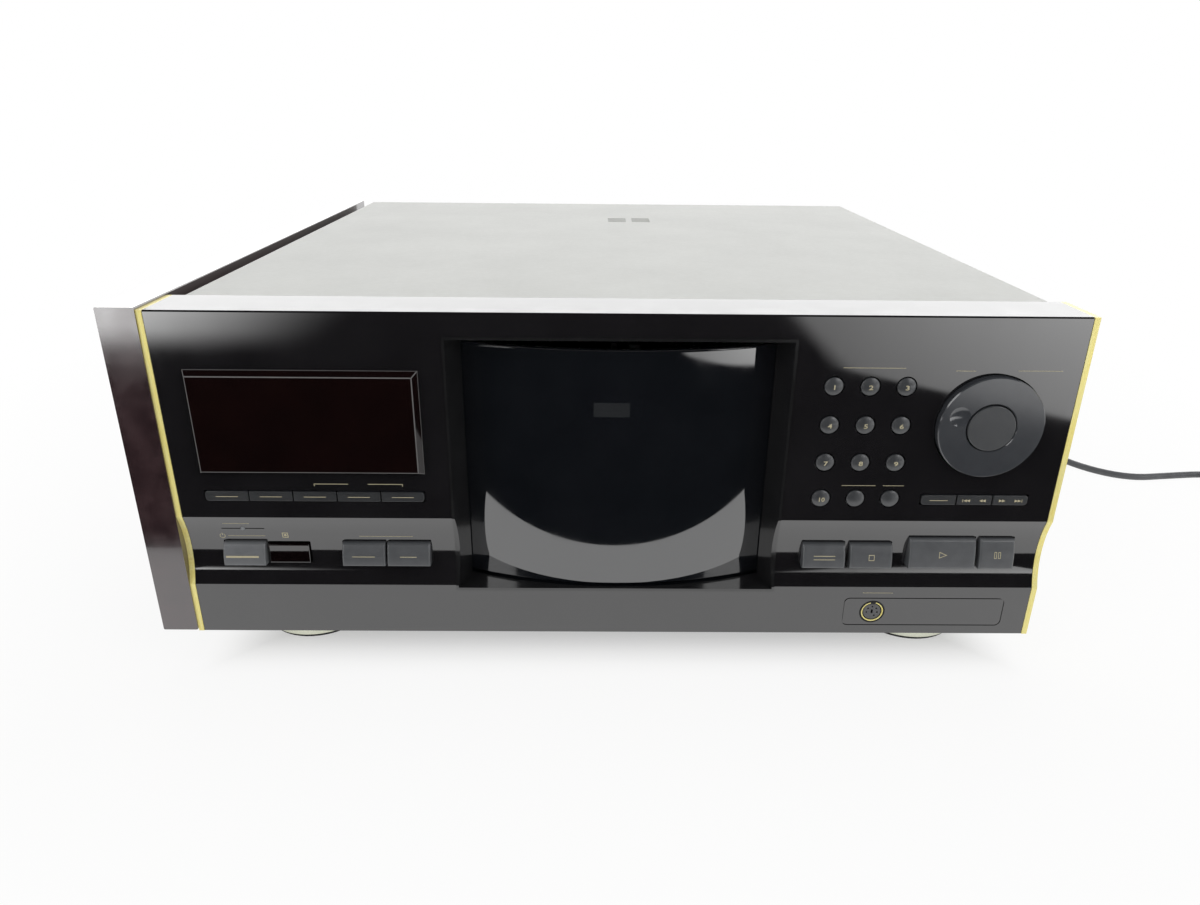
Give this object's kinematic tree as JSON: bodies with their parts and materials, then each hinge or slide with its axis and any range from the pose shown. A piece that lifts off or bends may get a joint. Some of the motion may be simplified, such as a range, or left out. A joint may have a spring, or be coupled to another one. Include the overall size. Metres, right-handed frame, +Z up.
{
  "type": "disc changer",
  "caption": "Full-width disc changer with a curved turning front door, a round disc rack that turns round a central drive, a keypad, a jog dial and a wooden side cheek.",
  "frame": {"origin": "on the table under the middle of the box round the cabinet with its wooden cheek, mains lead left out", "axes": "+X to the object's right as seen from the front, +Y to the back, +Z up"},
  "size_m": [0.7569, 0.5321, 0.1853],
  "materials": {
    "black_gloss": "polished black moulding",
    "gilt_metal": "polished gilt strip",
    "frame_black": "gloss black moulding",
    "door_smoke": "smoked acrylic, polished",
    "display_glass": "smoked dark brown acrylic",
    "sensor_smoke": "smoked filter",
    "lamp_clear": "clear rod",
    "key_satin": "satin dark grey moulding",
    "dial_satin": "satin dark grey moulding",
    "socket_black": "moulded socket with plated shell",
    "circuit_board": "lacquered laminate",
    "zinc_steel": "zinc plated sheet",
    "cover_paint": "light grey satin paint, fine texture",
    "screw_steel": "plated screws",
    "cheek_wood": "dark red-brown lacquered veneer",
    "foot_champagne": "champagne metallised moulding",
    "pad_rubber": "black pad",
    "rack_black": "black moulding",
    "gear_acetal": "white acetal",
    "motor_steel": "plated motor can",
    "drive_metal": "die cast",
    "cord_black": "black flexible sheath"
  },
  "bodies": {
    "cabinet": {"front_panel": "black_gloss", "edge_trims": "gilt_metal", "door_frame": "frame_black", "display_window": "display_glass", "sensor_window": "sensor_smoke", "standby_lamp": "lamp_clear", "keyboard_socket": "socket_black", "front_board": "circuit_board", "bottom_chassis": "zinc_steel", "rear_panel": "zinc_steel", "top_cover": "cover_paint", "case_screws": "screw_steel", "wood_cheek": "cheek_wood", "feet": "foot_champagne", "foot_pads": "pad_rubber", "drive_motor": "motor_steel", "drive_frame": "drive_metal", "main_board": "circuit_board", "power_board": "circuit_board", "rear_sockets": "socket_black", "strain_relief": "cord_black", "power_cord": "cord_black", "cord_coil": "cord_black", "plug": "cord_black"},
    "front_door": {"door": "door_smoke"},
    "rack": {"disc_rack": "rack_black", "rack_combs": "rack_black"},
    "pinion": {"drive_pinion": "gear_acetal"},
    "disc_turntable": {"turntable": "rack_black"},
    "pickup_sled": {"pickup": "rack_black"},
    "arm": {"loading_arm": "gear_acetal"},
    "dial": {"jog_dial": "dial_satin"},
    "enter": {"enter_button": "dial_satin"},
    "number_key_1_cap": {"number_key_1": "key_satin"},
    "number_key_2_cap": {"number_key_2": "key_satin"},
    "number_key_3_cap": {"number_key_3": "key_satin"},
    "number_key_4_cap": {"number_key_4": "key_satin"},
    "number_key_5_cap": {"number_key_5": "key_satin"},
    "number_key_6_cap": {"number_key_6": "key_satin"},
    "number_key_7_cap": {"number_key_7": "key_satin"},
    "number_key_8_cap": {"number_key_8": "key_satin"},
    "number_key_9_cap": {"number_key_9": "key_satin"},
    "number_key_10_cap": {"number_key_10": "key_satin"},
    "round_key_11_cap": {"round_key_11": "key_satin"},
    "round_key_12_cap": {"round_key_12": "key_satin"},
    "thin_key_1_cap": {"thin_key_1": "key_satin"},
    "thin_key_2_cap": {"thin_key_2": "key_satin"},
    "thin_key_3_cap": {"thin_key_3": "key_satin"},
    "thin_key_4_cap": {"thin_key_4": "key_satin"},
    "thin_key_5_cap": {"thin_key_5": "key_satin"},
    "thin_key_6_cap": {"thin_key_6": "key_satin"},
    "thin_key_7_cap": {"thin_key_7": "key_satin"},
    "thin_key_8_cap": {"thin_key_8": "key_satin"},
    "power_key_cap": {"power_key": "key_satin"},
    "loader_access_key_cap": {"loader_access_key": "key_satin"},
    "loader_play_key_cap": {"loader_play_key": "key_satin"},
    "open_close_key_cap": {"open_close_key": "key_satin"},
    "stop_key_cap": {"stop_key": "key_satin"},
    "play_key_cap": {"play_key": "key_satin"},
    "pause_key_cap": {"pause_key": "key_satin"}
  },
  "joints": [
    {"name": "door_turn", "type": "hinge", "parent": "cabinet", "child": "front_door", "pos_m": [0.0086, -0.008, 0], "axis": [0, 0, -1], "range_deg": [0, 48]},
    {"name": "rack_spin", "type": "hinge", "parent": "cabinet", "child": "rack", "pos_m": [0.0086, -0.008, 0], "axis": [0, 0, 1], "continuous": true},
    {"name": "pinion_spin", "type": "hinge", "parent": "cabinet", "child": "pinion", "pos_m": [-0.12151, 0.12211, 0], "axis": [0, 0, 1], "continuous": true},
    {"name": "turntable_spin", "type": "hinge", "parent": "cabinet", "child": "disc_turntable", "pos_m": [0.0086, -0.008, 0.103], "axis": [1, 0, 0], "continuous": true},
    {"name": "pickup_feed", "type": "slide", "parent": "cabinet", "child": "pickup_sled", "axis": [0, 0, -1], "range_m": [0, 0.034]},
    {"name": "loading_arm_tilt", "type": "hinge", "parent": "cabinet", "child": "arm", "pos_m": [0.0046, 0.026, 0.033], "axis": [-1, 0, 0], "range_deg": [0, 15]},
    {"name": "jog_turn", "type": "hinge", "parent": "cabinet", "child": "dial", "pos_m": [0.1785, -0.202, 0.133], "axis": [0, 1, 0], "continuous": true},
    {"name": "enter_press", "type": "slide", "parent": "cabinet", "child": "enter", "axis": [0, 1, 0], "range_m": [0, 0.001], "stiffness_N_per_m": 600, "springref_m": -0.001},
    {"name": "number_key_1_press", "type": "slide", "parent": "cabinet", "child": "number_key_1_cap", "axis": [0, 1, 0], "range_m": [0, 0.0008], "stiffness_N_per_m": 600, "springref_m": -0.001},
    {"name": "number_key_2_press", "type": "slide", "parent": "cabinet", "child": "number_key_2_cap", "axis": [0, 1, 0], "range_m": [0, 0.0008], "stiffness_N_per_m": 600, "springref_m": -0.001},
    {"name": "number_key_3_press", "type": "slide", "parent": "cabinet", "child": "number_key_3_cap", "axis": [0, 1, 0], "range_m": [0, 0.0008], "stiffness_N_per_m": 600, "springref_m": -0.001},
    {"name": "number_key_4_press", "type": "slide", "parent": "cabinet", "child": "number_key_4_cap", "axis": [0, 1, 0], "range_m": [0, 0.0008], "stiffness_N_per_m": 600, "springref_m": -0.001},
    {"name": "number_key_5_press", "type": "slide", "parent": "cabinet", "child": "number_key_5_cap", "axis": [0, 1, 0], "range_m": [0, 0.0008], "stiffness_N_per_m": 600, "springref_m": -0.001},
    {"name": "number_key_6_press", "type": "slide", "parent": "cabinet", "child": "number_key_6_cap", "axis": [0, 1, 0], "range_m": [0, 0.0008], "stiffness_N_per_m": 600, "springref_m": -0.001},
    {"name": "number_key_7_press", "type": "slide", "parent": "cabinet", "child": "number_key_7_cap", "axis": [0, 1, 0], "range_m": [0, 0.0008], "stiffness_N_per_m": 600, "springref_m": -0.001},
    {"name": "number_key_8_press", "type": "slide", "parent": "cabinet", "child": "number_key_8_cap", "axis": [0, 1, 0], "range_m": [0, 0.0008], "stiffness_N_per_m": 600, "springref_m": -0.001},
    {"name": "number_key_9_press", "type": "slide", "parent": "cabinet", "child": "number_key_9_cap", "axis": [0, 1, 0], "range_m": [0, 0.0008], "stiffness_N_per_m": 600, "springref_m": -0.001},
    {"name": "number_key_10_press", "type": "slide", "parent": "cabinet", "child": "number_key_10_cap", "axis": [0, 1, 0], "range_m": [0, 0.0008], "stiffness_N_per_m": 600, "springref_m": -0.001},
    {"name": "round_key_11_press", "type": "slide", "parent": "cabinet", "child": "round_key_11_cap", "axis": [0, 1, 0], "range_m": [0, 0.0008], "stiffness_N_per_m": 600, "springref_m": -0.001},
    {"name": "round_key_12_press", "type": "slide", "parent": "cabinet", "child": "round_key_12_cap", "axis": [0, 1, 0], "range_m": [0, 0.0008], "stiffness_N_per_m": 600, "springref_m": -0.001},
    {"name": "thin_key_1_press", "type": "slide", "parent": "cabinet", "child": "thin_key_1_cap", "axis": [0, 1, 0], "range_m": [0, 0.0008], "stiffness_N_per_m": 600, "springref_m": -0.001},
    {"name": "thin_key_2_press", "type": "slide", "parent": "cabinet", "child": "thin_key_2_cap", "axis": [0, 1, 0], "range_m": [0, 0.0008], "stiffness_N_per_m": 600, "springref_m": -0.001},
    {"name": "thin_key_3_press", "type": "slide", "parent": "cabinet", "child": "thin_key_3_cap", "axis": [0, 1, 0], "range_m": [0, 0.0008], "stiffness_N_per_m": 600, "springref_m": -0.001},
    {"name": "thin_key_4_press", "type": "slide", "parent": "cabinet", "child": "thin_key_4_cap", "axis": [0, 1, 0], "range_m": [0, 0.0008], "stiffness_N_per_m": 600, "springref_m": -0.001},
    {"name": "thin_key_5_press", "type": "slide", "parent": "cabinet", "child": "thin_key_5_cap", "axis": [0, 1, 0], "range_m": [0, 0.0008], "stiffness_N_per_m": 600, "springref_m": -0.001},
    {"name": "thin_key_6_press", "type": "slide", "parent": "cabinet", "child": "thin_key_6_cap", "axis": [0, 1, 0], "range_m": [0, 0.0008], "stiffness_N_per_m": 600, "springref_m": -0.001},
    {"name": "thin_key_7_press", "type": "slide", "parent": "cabinet", "child": "thin_key_7_cap", "axis": [0, 1, 0], "range_m": [0, 0.0008], "stiffness_N_per_m": 600, "springref_m": -0.001},
    {"name": "thin_key_8_press", "type": "slide", "parent": "cabinet", "child": "thin_key_8_cap", "axis": [0, 1, 0], "range_m": [0, 0.0008], "stiffness_N_per_m": 600, "springref_m": -0.001},
    {"name": "power_key_press", "type": "slide", "parent": "cabinet", "child": "power_key_cap", "axis": [0, 1, 0], "range_m": [0, 0.0012], "stiffness_N_per_m": 600, "springref_m": -0.001},
    {"name": "loader_access_key_press", "type": "slide", "parent": "cabinet", "child": "loader_access_key_cap", "axis": [0, 1, 0], "range_m": [0, 0.0012], "stiffness_N_per_m": 600, "springref_m": -0.001},
    {"name": "loader_play_key_press", "type": "slide", "parent": "cabinet", "child": "loader_play_key_cap", "axis": [0, 1, 0], "range_m": [0, 0.0012], "stiffness_N_per_m": 600, "springref_m": -0.001},
    {"name": "open_close_key_press", "type": "slide", "parent": "cabinet", "child": "open_close_key_cap", "axis": [0, 1, 0], "range_m": [0, 0.0012], "stiffness_N_per_m": 600, "springref_m": -0.001},
    {"name": "stop_key_press", "type": "slide", "parent": "cabinet", "child": "stop_key_cap", "axis": [0, 1, 0], "range_m": [0, 0.0012], "stiffness_N_per_m": 600, "springref_m": -0.001},
    {"name": "play_key_press", "type": "slide", "parent": "cabinet", "child": "play_key_cap", "axis": [0, 1, 0], "range_m": [0, 0.0012], "stiffness_N_per_m": 600, "springref_m": -0.001},
    {"name": "pause_key_press", "type": "slide", "parent": "cabinet", "child": "pause_key_cap", "axis": [0, 1, 0], "range_m": [0, 0.0012], "stiffness_N_per_m": 600, "springref_m": -0.001}
  ],
  "couplings": [
    {"joint": "pinion_spin", "follows": "rack_spin", "ratio": -14.333}
  ]
}
